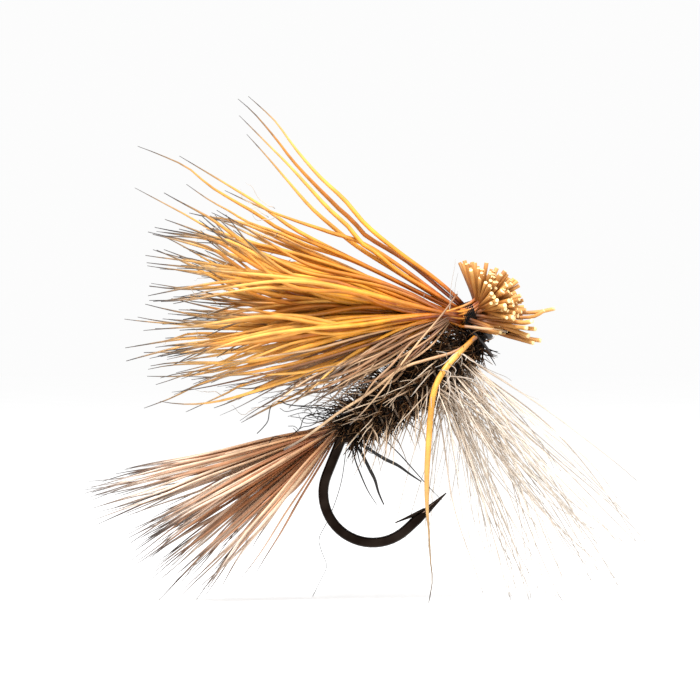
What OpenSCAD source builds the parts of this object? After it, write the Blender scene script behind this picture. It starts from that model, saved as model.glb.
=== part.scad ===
// Dry fly in the deer-hair caddis style, tied on a size 10 down-eye hook.
// It stands on its hackle and tail tips, with its shank pitched up, as it sits on the water.
// The origin is the centre of the hook eye's hole, +X points to the head and +Z up.

/* [Hook] */
// Pitch of the shank above the water as the fly stands, in degrees; the eye is turned down by as much
stand_pitch = 36; // [34:1:38]
// Height of the eye above the water, which the lowest hackle and tail tips touch
stand_height = 15.3; // [15:0.1:15.6]
// Diameter of the hook wire
wire_d = 0.58; // [0.54:0.01:0.6]
// Diameter of the hole in the eye
eye_hole_d = 1.0; // [0.9:0.05:1.1]
// Diameter of the tapered wire that forms the eye
eye_wire_d = 0.48; // [0.46:0.01:0.5]
// Straight length of the shank behind the eye
shank_length = 10.0; // [9.9:0.1:10.1]
// Radius of the round bend, to the middle of the wire
bend_r = 2.78; // [2.7:0.02:2.86]
// Length of the straight spear, from the bend to the point
spear_length = 3.06; // [2.9:0.02:3.2]
// Thickness of the bend across its forged flats
forged_t = 0.44; // [0.4:0.02:0.5]

/* [Body] */
// Largest radius of the dubbed body
body_r_max = 1.15; // [1.0:0.05:1.2]
// Diameter of the tying thread
thread_d = 0.09; // [0.08:0.01:0.1]
// Diameter of the hackle quills
quill_d = 0.16; // [0.12:0.02:0.18]

/* [Hair and hackle] */
// Length of the longest wing hair, from the collar to its tip
wing_length = 20.8; // [19:0.1:21.5]
// Length of the clipped butts, from the middle of the collar
butt_length = 3.4; // [3.1:0.1:3.6]
// Length of the longest tail hair, from its tie-in
tail_length = 13.9; // [13:0.1:14.5]
// Length of the hackle barbs on the fly's sides
hackle_length = 10.6; // [9.5:0.1:11.5]

/* [Hidden] */

wire_r = wire_d / 2;
eye_ring_r = eye_hole_d / 2 + eye_wire_d / 2 - 0.04;   // the hole's wall is a short true cylinder
base_r = wire_r + thread_d;                            // over the thread base
thread_r = thread_d / 2;
quill_r = quill_d / 2;
curve_fn = 48;
hair_fn = 16;

// Places along the shank, from the neck of the eye (0) back to the bend
whip_x = [-0.14, -0.42];
collar_x = -0.5;
front_hackle_x = [-1.95, -4.9];
body_x = [-1.75, -9.36];
palmer_x = [-5.3, -9.0];
tail_tie_x = -9.86;

// Hook bend: the heel slopes down to the round bend
heel_turn = 32;
heel_r = 1.2;
heel_length = 1.86;
bend_turn = 154.5;

// The hair bundles lie on top of the shank, and the collar leans back down to it
wing_seat_z = 1.3;
wing_ball_r = 0.9;
wing_groove_r = 0.76;
collar_lean = 20;
tail_seat_z = 0.66;
tail_waist_r = 0.36;
tail_apex = [tail_tie_x + 0.5, 0, 0.52];
tail_root_r = 1.3;

// The water's upward direction, seen from the tying position
up = [sin(stand_pitch), 0, cos(stand_pitch)];

// ---- helpers ----

// From the tying position, with the shank level, to the standing pose
module standing() translate([-eye_ring_r, 0, 0]) rotate([0, -stand_pitch, 0]) children();

// Unit vector at angle a in the hook's plane (0 forward, 90 up) and b towards +Y
function heading(a, b) = [cos(a) * cos(b), sin(b), sin(a) * cos(b)];

// Distance from p down along the unit vector v to the water
function to_water(p, v) = (stand_height + p * up) / -(v * up);

// Turns +Z to a unit vector
module aim(v) rotate([0, acos(v[2]), atan2(v[1], v[0])]) children();

// One hair: thin where it is bound, fullest a third of the way out, fine at its tip
module hair(length, root_r, full_r, tip_r)
    rotate_extrude($fn = hair_fn)
        polygon([[0, 0], [root_r, 0], [full_r, length / 3], [tip_r, length], [0, length]]);

// A round tube through points, with a radius at each; a looped one joins its own end
module sweep(points, radii, sides, looped = false) {
    n = len(points);
    rings = [for (i = [0:n - 1])
        let (
            next = looped ? (i + 1) % n : min(i + 1, n - 1),
            last = looped ? (i + n - 1) % n : max(i - 1, 0),
            t = (points[next] - points[last]) / norm(points[next] - points[last]),
            side_raw = cross(t, abs(t[1]) < 0.9 || looped ? [0, 1, 0] : [1, 0, 0]),
            side = looped ? [1, 0, 0] : side_raw / norm(side_raw),
            up = cross(side, t)
        )
        for (k = [0:sides - 1])
            points[i] + radii[i] * (cos(360 * k / sides) * side + sin(360 * k / sides) * up)];
    walls = [for (i = [0:n - (looped ? 1 : 2)], k = [0:sides - 1])
        let (
            a = i * sides + k,
            b = i * sides + (k + 1) % sides,
            c = (a + sides) % (n * sides),
            d = (b + sides) % (n * sides)
        )
        each [[a, c, b], [b, c, d]]];
    caps = looped ? [] : [[for (k = [0:sides - 1]) k], [for (k = [sides - 1:-1:0]) (n - 1) * sides + k]];
    polyhedron(rings, concat(walls, caps));
}

// A torus about the shank at x
module ring(x, r, section_r)
    translate([x, 0, 0]) rotate([0, 90, 0]) rotate_extrude($fn = curve_fn)
        translate([r, 0]) circle(section_r, $fn = 24);

// Turns of thread laid side by side about the shank, from x[0] back to x[1]
module turns_round_shank(x, inner_r) {
    pitch = thread_d * 1.06;
    for (i = [0:floor((x[0] - x[1]) / pitch)])
        ring(x[0] - i * pitch, inner_r + thread_r, thread_r);
}

// Points on a loop at x that holds the round bundle, seat_z above the shank, down on the shank
function belt_path(x, bundle_r, shank_r, seat_z) =
    let (
        big = bundle_r + thread_r,
        small = shank_r + thread_r,
        lean = asin((big - small) / seat_z),
        arc_steps = 16
    )
    concat([for (i = [0:arc_steps])
                let (a = -lean + (180 + 2 * lean) * i / arc_steps)
                [x, big * cos(a), seat_z + big * sin(a)]],
           [for (i = [0:arc_steps])
                let (a = 180 + lean + (180 - 2 * lean) * i / arc_steps)
                [x, small * cos(a), small * sin(a)]]);

module belt(x, bundle_r, shank_r, seat_z) {
    path = belt_path(x, bundle_r, shank_r, seat_z);
    sweep(path, [for (p = path) thread_r], 6, looped = true);
}

// ---- hook ----

// A round arc of wire that turns down from heading -X
module wire_arc(radius, turn)
    translate([0, 0, -radius]) rotate([90, 0, 0]) rotate([0, 0, 90])
        rotate_extrude(angle = turn, $fn = curve_fn) translate([radius, 0]) circle(wire_r, $fn = curve_fn);

// Children placed at the end of such an arc
module after_arc(radius, turn)
    translate([-radius * sin(turn), 0, -radius * (1 - cos(turn))]) rotate([0, -turn, 0]) children();

// Straight wire towards -X, lapped into the wire before it
module wire_run(length, r1, r2) {
    lap = 0.03;
    translate([lap, 0, 0]) rotate([0, -90, 0]) cylinder(h = length + lap, r1 = r1, r2 = r2, $fn = curve_fn);
}

// Heel, round bend, spear and barb, from the end of the shank
module bend() {
    straight_spear = 0.9;
    wire_arc(heel_r, heel_turn);
    after_arc(heel_r, heel_turn) {
        wire_run(heel_length, wire_r, wire_r);
        translate([-heel_length, 0, 0]) {
            wire_arc(bend_r, bend_turn);
            after_arc(bend_r, bend_turn) {
                wire_run(straight_spear, wire_r, wire_r);
                translate([-straight_spear, 0, 0])
                    wire_run(spear_length - straight_spear, wire_r, 0.03);
                barb();
            }
        }
    }
}

// A sliver cut from the spear and raised, its free end towards the bend
module barb() {
    root = [-1.5, 0, -0.1];
    tip = [0.2, 0, -0.7];
    length = norm(tip - root);
    translate(root) aim((tip - root) / length) cylinder(h = length, r1 = 0.15, r2 = 0.03, $fn = 24);
}

module hook() color("#1d1816") {
    rotate_extrude($fn = 96) intersection() {
        translate([eye_ring_r, 0]) circle(eye_wire_d / 2, $fn = curve_fn);
        translate([eye_hole_d / 2, -1]) square([2, 2]);
    }
    standing() {
        neck = 0.3;
        wire_run(neck, eye_wire_d / 2 - 0.04, wire_r);
        translate([-neck, 0, 0]) wire_run(shank_length - neck, wire_r, wire_r);
        translate([-shank_length, 0, 0]) intersection() {
            bend();
            translate([-8, -forged_t / 2, -9]) cube([12, forged_t, 12]);
        }
    }
}

// ---- thread ----

module thread_base() color("#141010") standing()
    translate([-0.55, 0, 0]) rotate([0, -90, 0]) difference() {
        cylinder(h = shank_length - 0.55, r = base_r, $fn = curve_fn);
        translate([0, 0, -1]) cylinder(h = shank_length + 1, r = wire_r, $fn = curve_fn);
    }

module whip_finish() color("#141010") standing() turns_round_shank(whip_x, wire_r);

module head_cement() color("#2a1c12") standing()
    translate([whip_x[1] - thread_r, 0, 0]) rotate([0, 90, 0]) {
        length = whip_x[0] - whip_x[1] + thread_d;
        skin = [[0, 0.14], [0.1, 0.17], [length - 0.1, 0.15], [length, 0.11]];
        rotate_extrude($fn = curve_fn)
            polygon(concat([[wire_r + thread_d + 0.005, 0]],
                           [for (p = skin) [wire_r + p[1], p[0]]],
                           [[wire_r + thread_d + 0.005, length]]));
    }

module collar_wraps() color("#141010") standing() at_collar() rotate([0, collar_lean, 0])
    for (i = [-3:3])
        translate([0, 0, -wing_seat_z / cos(collar_lean)])
            belt(i * thread_d * 1.06, wing_groove_r, base_r + 0.03, wing_seat_z / cos(collar_lean));

module tail_wraps() color("#141010") standing()
    for (i = [-4:3]) belt(tail_tie_x + 0.1 + i * thread_d * 1.06, tail_waist_r, base_r, tail_seat_z);

// The clipped end of the thread, curled below the collar
module thread_tag() color("#141010") standing()
    translate([-0.7, -0.62, -0.5]) rotate([90, 0, 30]) rotate_extrude(angle = 200, $fn = 32)
        translate([0.24, 0]) circle(thread_r, $fn = 16);

// ---- tail ----

tail_rows = 7;
function tail_angle(row) = 158 + row * 5.2;
function tail_side(row, col) = col * 5.8 + (row % 2) * 2.9;
function tail_heading(row, col) = heading(tail_angle(row), tail_side(row, col));

// The lowest rows end on the water; the others vary a little
function tail_reach(row, col) =
    let (v = tail_heading(row, col))
    row == tail_rows - 1 ? to_water(tail_apex + v * tail_root_r, v)
                         : tail_length * (0.91 + 0.06 * sin(140 * row + 75 * col)) - 0.1 * row;

module tail_rows_of_hair(rows) standing() translate(tail_apex)
    for (row = rows, col = [-2:2])
        aim(tail_heading(row, col)) translate([0, 0, tail_root_r])
            hair(tail_reach(row, col), 0.045, 0.07, 0.018);

module tail_hair_upper() color("#8a5f44") tail_rows_of_hair([0:3]);
module tail_hair_lower() color("#6f4a36") tail_rows_of_hair([4:6]);

// The tail bundle where it is bound on top of the shank
module tail_waist() color("#8a5f44") standing()
    translate([tail_tie_x + 0.46, 0, tail_seat_z]) rotate([0, -90, 0]) difference() {
        cylinder(h = 1.2, r = tail_waist_r, $fn = curve_fn);
        translate([-tail_seat_z, 0, -1]) cylinder(h = 3, r = base_r, $fn = curve_fn);
    }

// The butts of the tail hair, laid round the shank under the body
module tail_hair_butts() color("#8a5f44") standing() {
    under = base_r + 0.16;
    translate([body_x[0] - 0.4, 0, 0]) rotate([0, -90, 0]) difference() {
        cylinder(h = 6.6, r = under, $fn = curve_fn);
        translate([0, 0, -1]) cylinder(h = 9, r = base_r, $fn = curve_fn);
    }
}

// ---- body ----

// Radius of the body, from its front (0) to its rear (1)
function body_r(s) = body_r_max * (0.62 + 0.38 * sin(180 * pow(s, 0.75)));
function body_share(x) = (x - body_x[0]) / (body_x[1] - body_x[0]);
body_steps = 52;

// Dubbing spun on the thread and wound in turns, which show as ridges
module dubbed_body() color("#231c18") standing()
    translate([body_x[0], 0, 0]) rotate([0, -90, 0]) {
        length = body_x[0] - body_x[1];
        hollow = [[base_r, length], [base_r, 7], [base_r + 0.16, 7],
                  [base_r + 0.16, 0.4], [base_r, 0.4], [base_r, 0]];
        rotate_extrude($fn = curve_fn)
            polygon(concat([for (i = [0:body_steps])
                                [body_r(i / body_steps) - (i % 2) * 0.07, i / body_steps * length]], hollow));
    }

// Picked-out fur: short fibres all round the body
module dubbing_fibres() color("#3b2f28") standing()
    for (i = [0:35]) {
        x = body_x[0] - 0.5 - i * 0.18;
        round = 137.5 * i;
        v = [0.5 * sin(77 * i), sin(round), -cos(round)];
        r = body_r(body_share(x));
        if (abs(cos(round)) < 0.97)
            translate([x, r * sin(round), -r * cos(round)]) aim(v / norm(v))
                hair(1.0 + 0.4 * sin(51 * i), 0.03, 0.035, 0.012);
    }

// Coarse black hairs that hang from the rear of the body into the hook's gap
module black_guard_hairs() color("#0e0c0c") standing()
    for (g = [[-9.28, -0.15, 257, 3.6, 0.09],
              [-9.1, -0.4, 291, 4.2, 0.1],
              [-8.9, 0.3, 272, 5.2, 0.05]])
        translate([g[0], g[1], -0.85]) aim(heading(g[2], -6)) hair(g[3], g[4] * 0.8, g[4], 0.02);

// ---- hackle ----

// A quill wound over the body from x[0] back to x[1]
module wound_quill(x, turns, steps_a_turn) {
    n = turns * steps_a_turn;
    sweep([for (i = [0:n])
               let (
                   along = x[0] + (x[1] - x[0]) * i / n,
                   r = body_r(body_share(along)) + quill_r + 0.03,
                   round = 360 * i / steps_a_turn
               )
               [along, r * sin(round), -r * cos(round)]],
          [for (i = [0:n]) quill_r * (1 - 0.3 * i / n)], 8);
}

module front_quill() color("#6b5a48") standing() wound_quill(front_hackle_x, 4, 14);
module palmer_quill() color("#57483a") standing() wound_quill(palmer_x, 4, 14);

// Barbs that stand out from the shank at x, each at an angle round it (0 is straight down)
module barb_ring(x, rounds, lean, length, full_r)
    for (round = rounds) {
        r = body_r(body_share(x)) + quill_d + 0.08;
        v = [tan(lean), sin(round), -cos(round)];
        translate([x, r * sin(round), -r * cos(round)]) aim(v / norm(v)) hair(length, 0.03, full_r, 0.014);
    }

// The lowest barbs: the fly stands on their tips
module front_barbs_low() color("#b3aaa0") standing()
    for (b = [[-4.3, 20, -15], [-3.9, 9, -10], [-3.3, 27, -5], [-2.9, 13, 0]], side = [1, -1]) {
        r = body_r(body_share(b[0])) + quill_d + 0.08;
        v_raw = [tan(b[2]), side * sin(b[1]), -cos(b[1])];
        v = v_raw / norm(v_raw);
        p = [b[0], side * r * sin(b[1]), -r * cos(b[1])];
        translate(p) aim(v) hair(to_water(p, v), 0.03, 0.05, 0.016);
    }

module front_barbs_side(side) standing()
    for (i = [0:4]) {
        front = hackle_length + 1.2 - 0.5 * i;
        rear = hackle_length + 0.4 - 0.4 * i;
        barb_ring(-2.3 - i * 0.45, [side * (38 + 14 * i)], 12 - 5 * i, front, 0.05);
        barb_ring(-2.5 - i * 0.45, [side * (46 + 14 * i)], -6 + 3 * i, rear, 0.05);
    }

module front_barbs_left() color("#c4bbb0") front_barbs_side(1);
module front_barbs_right() color("#c4bbb0") front_barbs_side(-1);

// Shorter barbs of the hackle that is palmered over the rear of the body
module palmer_barbs() color("#7d7065") standing()
    for (i = [0:11]) {
        round = i % 2 == 0 ? 34 + 6 * i : -34 - 6 * i;
        lean = 10 - 14 * sin(100 * i);
        barb_ring(palmer_x[0] - 0.15 - i * 0.3, [round], lean, 5.2 - 0.15 * i, 0.04);
    }

// The hackle's butt, clipped below the collar
module quill_stub() color("#33271f") standing()
    translate([-0.95, -0.55, -0.72]) aim(heading(-82, -10)) hair(1.0, 0.09, 0.1, 0.06);

// ---- wing ----

module at_collar() translate([collar_x, 0, wing_seat_z]) children();

// The packed middle of the hair bundle, with the groove that the collar draws in
module wing_waist() color("#c07a2a") standing() difference() {
    at_collar() sphere(wing_ball_r, $fn = curve_fn);
    at_collar() rotate([0, 90 + collar_lean, 0]) rotate_extrude($fn = curve_fn)
        translate([wing_groove_r, -0.34]) square([1, 0.68]);
    translate([-3, 0, 0]) rotate([0, 90, 0]) cylinder(h = 4, r = base_r + 0.14, $fn = curve_fn);
}

// Rows of hair from the top of the wing down, each row fanned to both sides of the body
wing_reaches = [0.97, 0.99, 0.93, 0.86, 0.81, 0.8, 0.82, 0.86, 0.84, 0.68];
function wing_sides(row) = row % 2 == 0 ? [-24:8:24] : [-20:8:20];
function wing_angle(row) = 111 + row * 6.4;
function wing_reach(row, side) = wing_length * wing_reaches[row] * (0.95 + 0.05 * sin(97 * row + 9 * side));

module wing_rows_of_hair(rows) standing() at_collar()
    for (row = rows, side = wing_sides(row))
        aim(heading(wing_angle(row), side)) translate([0, 0, wing_ball_r + 0.02])
            hair(wing_reach(row, side), 0.045, 0.1, 0.02);

module wing_hair_upper() color("#d9902c") wing_rows_of_hair([0:2]);
module wing_hair_middle() color("#cf8426") wing_rows_of_hair([3:6]);
module wing_hair_lower() color("#bd7a30") wing_rows_of_hair([7:9]);

// A few hairs that stand apart above the wing
module wing_top_tuft() color("#d9902c") standing() at_collar()
    for (t = [[99.5, -5, 0.8], [100, 4, 0.77], [104.5, -9, 0.77], [105, 0.5, 0.74]])
        aim(heading(t[0], t[1])) translate([0, 0, wing_ball_r + 0.02])
            hair(wing_length * t[2], 0.045, 0.11, 0.02);

// The butts flare in front of the collar and are clipped to a dome
dome_rings = 6;
dome_step = 10.4;
function dome_heading(off, round) = [cos(off), sin(off) * sin(round), sin(off) * cos(round)];

module wing_butts() color("#d8a058") standing() at_collar()
    for (k = [0:dome_rings], i = [0:max(6 * k - 1, 0)]) {
        v = dome_heading(dome_step * k, k == 0 ? 0 : 60 * i / k + 15 * k);
        above_eye = v[2] > -0.66;
        beside_eye = abs(v[1]) > 0.56;
        if (above_eye || beside_eye)
            aim(v) translate([0, 0, wing_ball_r + 0.02])
                hair((butt_length - wing_ball_r) * (0.93 + 0.07 * sin(131 * i + 59 * k)), 0.065, 0.1, 0.12);
    }

// Butts that the scissors missed, below the dome on either side of the eye
module long_butts() color("#d0983c") standing() at_collar()
    for (t = [[-31, -5, 3.8], [-52, -39, 3.3], [-46, 41, 2.6]])
        aim(heading(t[0], t[1])) translate([0, 0, wing_ball_r + 0.02]) hair(t[2], 0.08, 0.11, 0.07);

// A wing hair that has bent down past the body, as it stands
stray_points = [[-1.6, -1.3, -0.6], [-2.3, -1.8, -1.2], [-3.2, -2.2, -2.1], [-3.8, -2.3, -3.2],
                [-4.05, -2.35, -4.6], [-4.2, -2.35, -6.4], [-4.25, -2.3, -8.2], [-4.15, -2.3, -10.0],
                [-4.05, -2.2, -12.0], [-4.0, -2.1, -13.8], [-4.2, -2.05, -15.3]];
module stray_hair() color("#dda040")
    sweep(stray_points, [0.12, 0.16, 0.17, 0.17, 0.16, 0.15, 0.13, 0.1, 0.06, 0.04, 0.02], 8);

// A wing hair that lies across the body, as it stands
crossing_points = [[-1.8, -1.35, -0.7], [-3.6, -1.9, -1.5], [-5.8, -2.1, -2.4],
                   [-8.2, -2.0, -4.2], [-9.8, -1.9, -5.2], [-12.2, -1.8, -6.7]];
module crossing_hair() color("#d9b07a")
    sweep(crossing_points, [0.07, 0.09, 0.1, 0.09, 0.06, 0.03], 8);

hook();
thread_base();
tail_wraps();
collar_wraps();
whip_finish();
head_cement();
thread_tag();
tail_waist();
tail_hair_upper();
tail_hair_lower();
tail_hair_butts();
dubbed_body();
dubbing_fibres();
black_guard_hairs();
palmer_quill();
palmer_barbs();
front_quill();
front_barbs_low();
front_barbs_left();
front_barbs_right();
quill_stub();
wing_waist();
wing_top_tuft();
wing_hair_upper();
wing_hair_middle();
wing_hair_lower();
wing_butts();
long_butts();
stray_hair();
crossing_hair();
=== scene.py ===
"""Visual model of a deer-hair dry fly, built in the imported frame's metres.

Every hair, barb and fibre is a tapered tube. Lengths in this file are in millimetres in the row frame
(origin at the eye, +X to the head, +Z up) unless a name says otherwise, and MM turns them to metres.
"""

import math

import bpy
import numpy as np
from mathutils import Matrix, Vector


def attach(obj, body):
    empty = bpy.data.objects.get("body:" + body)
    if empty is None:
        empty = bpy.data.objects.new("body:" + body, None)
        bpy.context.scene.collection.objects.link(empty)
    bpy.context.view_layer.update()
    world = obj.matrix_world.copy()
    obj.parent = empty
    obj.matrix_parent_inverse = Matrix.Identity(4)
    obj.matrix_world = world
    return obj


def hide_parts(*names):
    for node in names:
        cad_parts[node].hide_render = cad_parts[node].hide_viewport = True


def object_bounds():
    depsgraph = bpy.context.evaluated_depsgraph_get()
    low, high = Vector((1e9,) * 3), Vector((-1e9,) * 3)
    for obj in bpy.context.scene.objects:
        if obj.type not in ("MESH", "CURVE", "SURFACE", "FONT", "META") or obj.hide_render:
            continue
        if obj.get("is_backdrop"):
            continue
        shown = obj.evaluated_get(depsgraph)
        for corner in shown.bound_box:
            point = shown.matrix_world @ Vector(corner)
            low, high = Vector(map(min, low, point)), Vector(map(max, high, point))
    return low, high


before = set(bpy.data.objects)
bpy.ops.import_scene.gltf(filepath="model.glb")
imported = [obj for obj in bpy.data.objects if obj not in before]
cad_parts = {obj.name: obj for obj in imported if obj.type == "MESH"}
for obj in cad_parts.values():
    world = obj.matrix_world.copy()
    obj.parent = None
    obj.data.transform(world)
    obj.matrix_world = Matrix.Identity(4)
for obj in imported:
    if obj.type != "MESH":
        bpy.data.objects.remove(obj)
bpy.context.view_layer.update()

MM = 0.001
PITCH = math.radians(36.0)
NECK_X = -0.70
FLOOR_Z = -15.3
rng = np.random.default_rng(1871)


# ---- places ----


def shank(u, y, v):
    """A point u along the shank (forward), y to the left and v square above it, in the row frame."""
    c, s = math.cos(PITCH), math.sin(PITCH)
    return np.array([NECK_X + u * c - v * s, y, u * s + v * c])


def heading(angle, side):
    """Unit vector at angle degrees in the X-Z plane (0 is +X, 90 is up) and side degrees towards +Y."""
    a, b = math.radians(angle), math.radians(side)
    return np.array([math.cos(a) * math.cos(b), math.sin(b), math.sin(a) * math.cos(b)])


BUNDLE = shank(-0.5, 0.0, 1.3)
TAIL_TIE = shank(-9.36, 0.0, 0.52)


def body_radius(u):
    """Radius of the dubbed body at u along the shank."""
    share = np.clip((u + 1.75) / (-9.36 + 1.75), 0.0, 1.0)
    return 1.08 * (0.62 + 0.38 * np.sin(np.pi * share**0.75))


# ---- curves ----


def smooth_path(points, n):
    """n points evenly spaced along a Catmull-Rom curve through points."""
    p = np.array(points, dtype=float)
    p = np.vstack([2 * p[0] - p[1], p, 2 * p[-1] - p[-2]])
    out = []
    for i in range(1, len(p) - 2):
        for t in np.linspace(0, 1, 16, endpoint=False):
            a, b, c, d = p[i - 1], p[i], p[i + 1], p[i + 2]
            square = 2 * a - 5 * b + 4 * c - d
            cube = 3 * b - a - 3 * c + d
            out.append(0.5 * (2 * b + (c - a) * t + square * t**2 + cube * t**3))
    out.append(p[-2])
    out = np.array(out)
    walked = np.concatenate([[0], np.cumsum(np.linalg.norm(np.diff(out, axis=0), axis=1))])
    at = np.linspace(0, walked[-1], n)
    return np.column_stack([np.interp(at, walked, out[:, k]) for k in range(3)])


def wander(n, size, waves, grow=1.0):
    """A smooth random offset for n points along a hair: size in mm at the tip, waves along its length."""
    t = np.linspace(0, 1, n)
    out = np.zeros((n, 3))
    for w in (1.0, 1.9, 3.1):
        phase = rng.uniform(0, 2 * math.pi, 3)
        out += rng.normal(0, 1, 3) / w * np.sin(2 * math.pi * waves * w * t[:, None] + phase) / 1.8
    out -= out[0]
    return out * size * (t[:, None] ** grow)


def taper(n, radius, root=0.8, tip=0.12, start=0.55):
    """Radii along a hair: root share at the root, full by a quarter, and narrowing from start to the tip."""
    t = np.linspace(0, 1, n)
    swell = root + (1 - root) * np.clip(t / 0.25, 0, 1)
    fall = np.clip((t - start) / (1 - start), 0, 1)
    return radius * swell * (1 - (1 - tip) * fall**1.25)


# ---- meshes ----


class Tuft:
    """Gathers strands of the same number of points and makes them one mesh."""

    def __init__(self, name, points, sides):
        self.name = name
        self.points = points
        self.sides = sides
        self.paths = []
        self.radii = []
        self.tones = []

    def add(self, path, radii, tone):
        path = np.asarray(path, dtype=float)
        if len(path) != self.points:
            path = smooth_path(path, self.points)
        self.paths.append(path)
        self.radii.append(radii)
        self.tones.append(tone)

    def build(self, material, slot, nodes=()):
        path = np.array(self.paths)
        radii = np.array(self.radii)
        strands, n, k = len(path), self.points, self.sides
        path[:, :, 2] = np.maximum(path[:, :, 2], FLOOR_Z + radii)
        tangent = np.gradient(path, axis=1)
        tangent /= np.linalg.norm(tangent, axis=2, keepdims=True) + 1e-9
        mean = np.abs(tangent.mean(axis=1))
        least = np.argmin(mean, axis=1)
        ref = np.eye(3)[least][:, None, :]
        side = np.cross(tangent, ref)
        side /= np.linalg.norm(side, axis=2, keepdims=True) + 1e-9
        up = np.cross(side, tangent)
        angle = np.linspace(0, 2 * math.pi, k, endpoint=False)
        ring = np.cos(angle)[:, None] * side[:, :, None, :] + np.sin(angle)[:, None] * up[:, :, None, :]
        verts = (path[:, :, None, :] + radii[:, :, None, None] * ring).reshape(-1, 3) * MM

        s, i, j = np.meshgrid(np.arange(strands), np.arange(n - 1), np.arange(k), indexing="ij")
        base = s * n * k + i * k
        nxt = (j + 1) % k
        quads = np.stack([base + j, base + nxt, base + k + nxt, base + k + j], axis=-1).reshape(-1, 4)
        first = np.arange(strands)[:, None] * n * k
        caps_root = (first + np.arange(k)[::-1]).reshape(-1)
        caps_tip = (first + (n - 1) * k + np.arange(k)).reshape(-1)
        loops = np.concatenate([quads.reshape(-1), caps_root, caps_tip]).astype(np.int32)
        starts = np.concatenate(
            [np.arange(len(quads)) * 4, len(quads) * 4 + np.arange(2 * strands) * k]
        ).astype(np.int32)

        mesh = bpy.data.meshes.new(self.name)
        mesh.vertices.add(len(verts))
        mesh.vertices.foreach_set("co", verts.astype(np.float32).reshape(-1))
        mesh.loops.add(len(loops))
        mesh.loops.foreach_set("vertex_index", loops)
        mesh.polygons.add(len(starts))
        mesh.polygons.foreach_set("loop_start", starts)
        mesh.update(calc_edges=True)

        along = np.broadcast_to(np.linspace(0, 1, n)[None, :, None], (strands, n, k)).reshape(-1)
        tone = np.broadcast_to(np.array(self.tones)[:, None, None], (strands, n, k)).reshape(-1)
        for label, values in (("along", along), ("tone", tone)):
            layer = mesh.attributes.new(label, "FLOAT", "POINT")
            layer.data.foreach_set("value", values.astype(np.float32))

        rows = max(1, int(round(math.sqrt(strands / 64.0))))
        cols = int(math.ceil(strands / rows))
        row, col = s // cols, s % cols
        u0, u1 = (col + 0.1 + 0.8 * j / k) / cols, (col + 0.1 + 0.8 * (j + 1) / k) / cols
        v0 = (row + 0.02 + 0.96 * i / (n - 1)) / rows
        v1 = (row + 0.02 + 0.96 * (i + 1) / (n - 1)) / rows
        corners = ((u0, v0), (u1, v0), (u1, v1), (u0, v1))
        uv_quads = np.stack([np.stack(corner, -1) for corner in corners], axis=-2).reshape(-1, 2)
        s1 = np.arange(strands)
        cap_u = ((s1 % cols)[:, None] + 0.1 + 0.8 * np.arange(k) / k) / cols
        low_v = np.broadcast_to(((s1 // cols)[:, None] + 0.02) / rows, cap_u.shape)
        high_v = np.broadcast_to(((s1 // cols)[:, None] + 0.98) / rows, cap_u.shape)
        uv = np.vstack(
            [
                uv_quads,
                np.stack([cap_u[:, ::-1], low_v], -1).reshape(-1, 2),
                np.stack([cap_u, high_v], -1).reshape(-1, 2),
            ]
        )
        layer = mesh.uv_layers.new(name="OFBake")
        layer.data.foreach_set("uv", uv.astype(np.float32).reshape(-1))

        mesh.polygons.foreach_set("use_smooth", np.ones(len(starts), dtype=bool))
        mesh.validate()
        mesh.materials.append(material)
        obj = bpy.data.objects.new(self.name, mesh)
        bpy.context.scene.collection.objects.link(obj)
        if nodes:
            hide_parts(*nodes)
        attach(obj, "root")
        return obj


# ---- materials ----


def node_of(tree, kind, **values):
    node = tree.nodes.new(kind)
    for key, value in values.items():
        setattr(node, key, value)
    return node


def new_material(name):
    mat = bpy.data.materials.new(name)
    mat.use_nodes = True
    tree = mat.node_tree
    return mat, tree, tree.nodes["Principled BSDF"]


def ramp(tree, source, stops):
    """A colour ramp over source, through (place, sRGB 0-255 colour) stops."""
    node = node_of(tree, "ShaderNodeValToRGB")
    elements = node.color_ramp.elements
    while len(elements) < len(stops):
        elements.new(0.5)
    for element, (place, colour) in zip(elements, stops):
        element.position = place
        element.color = (*[(c / 255.0) ** 2.2 for c in colour], 1.0)
    tree.links.new(source, node.inputs["Fac"])
    return node.outputs["Color"]


def mix(tree, factor, a, b, mode="MIX"):
    node = node_of(tree, "ShaderNodeMix", data_type="RGBA", blend_type=mode)
    for socket, value in ((node.inputs["Factor"], factor), (node.inputs[6], a), (node.inputs[7], b)):
        if isinstance(value, (int, float, tuple)):
            socket.default_value = value
        else:
            tree.links.new(value, socket)
    return node.outputs[2]


def math_node(tree, operation, a, b=0.0, clamp=False):
    node = node_of(tree, "ShaderNodeMath", operation=operation, use_clamp=clamp)
    for socket, value in zip(node.inputs, (a, b)):
        if isinstance(value, (int, float)):
            socket.default_value = value
        else:
            tree.links.new(value, socket)
    return node.outputs[0]


def noise(tree, scale, detail=3.0, stretch=(1, 1, 1)):
    """Noise at scale waves per metre in object space."""
    place = node_of(tree, "ShaderNodeTexCoord")
    mapping = node_of(tree, "ShaderNodeMapping")
    mapping.inputs["Scale"].default_value = stretch
    tree.links.new(place.outputs["Object"], mapping.inputs["Vector"])
    node = node_of(tree, "ShaderNodeTexNoise")
    node.inputs["Scale"].default_value = scale
    node.inputs["Detail"].default_value = detail
    tree.links.new(mapping.outputs["Vector"], node.inputs["Vector"])
    return node.outputs["Fac"]


def attribute(tree, name):
    return node_of(tree, "ShaderNodeAttribute", attribute_name=name).outputs["Fac"]


def bump(tree, shader, height, distance, strength=0.5):
    node = node_of(tree, "ShaderNodeBump")
    node.inputs["Strength"].default_value = strength
    node.inputs["Distance"].default_value = distance
    tree.links.new(height, node.inputs["Height"])
    tree.links.new(node.outputs["Normal"], shader.inputs["Normal"])


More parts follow.
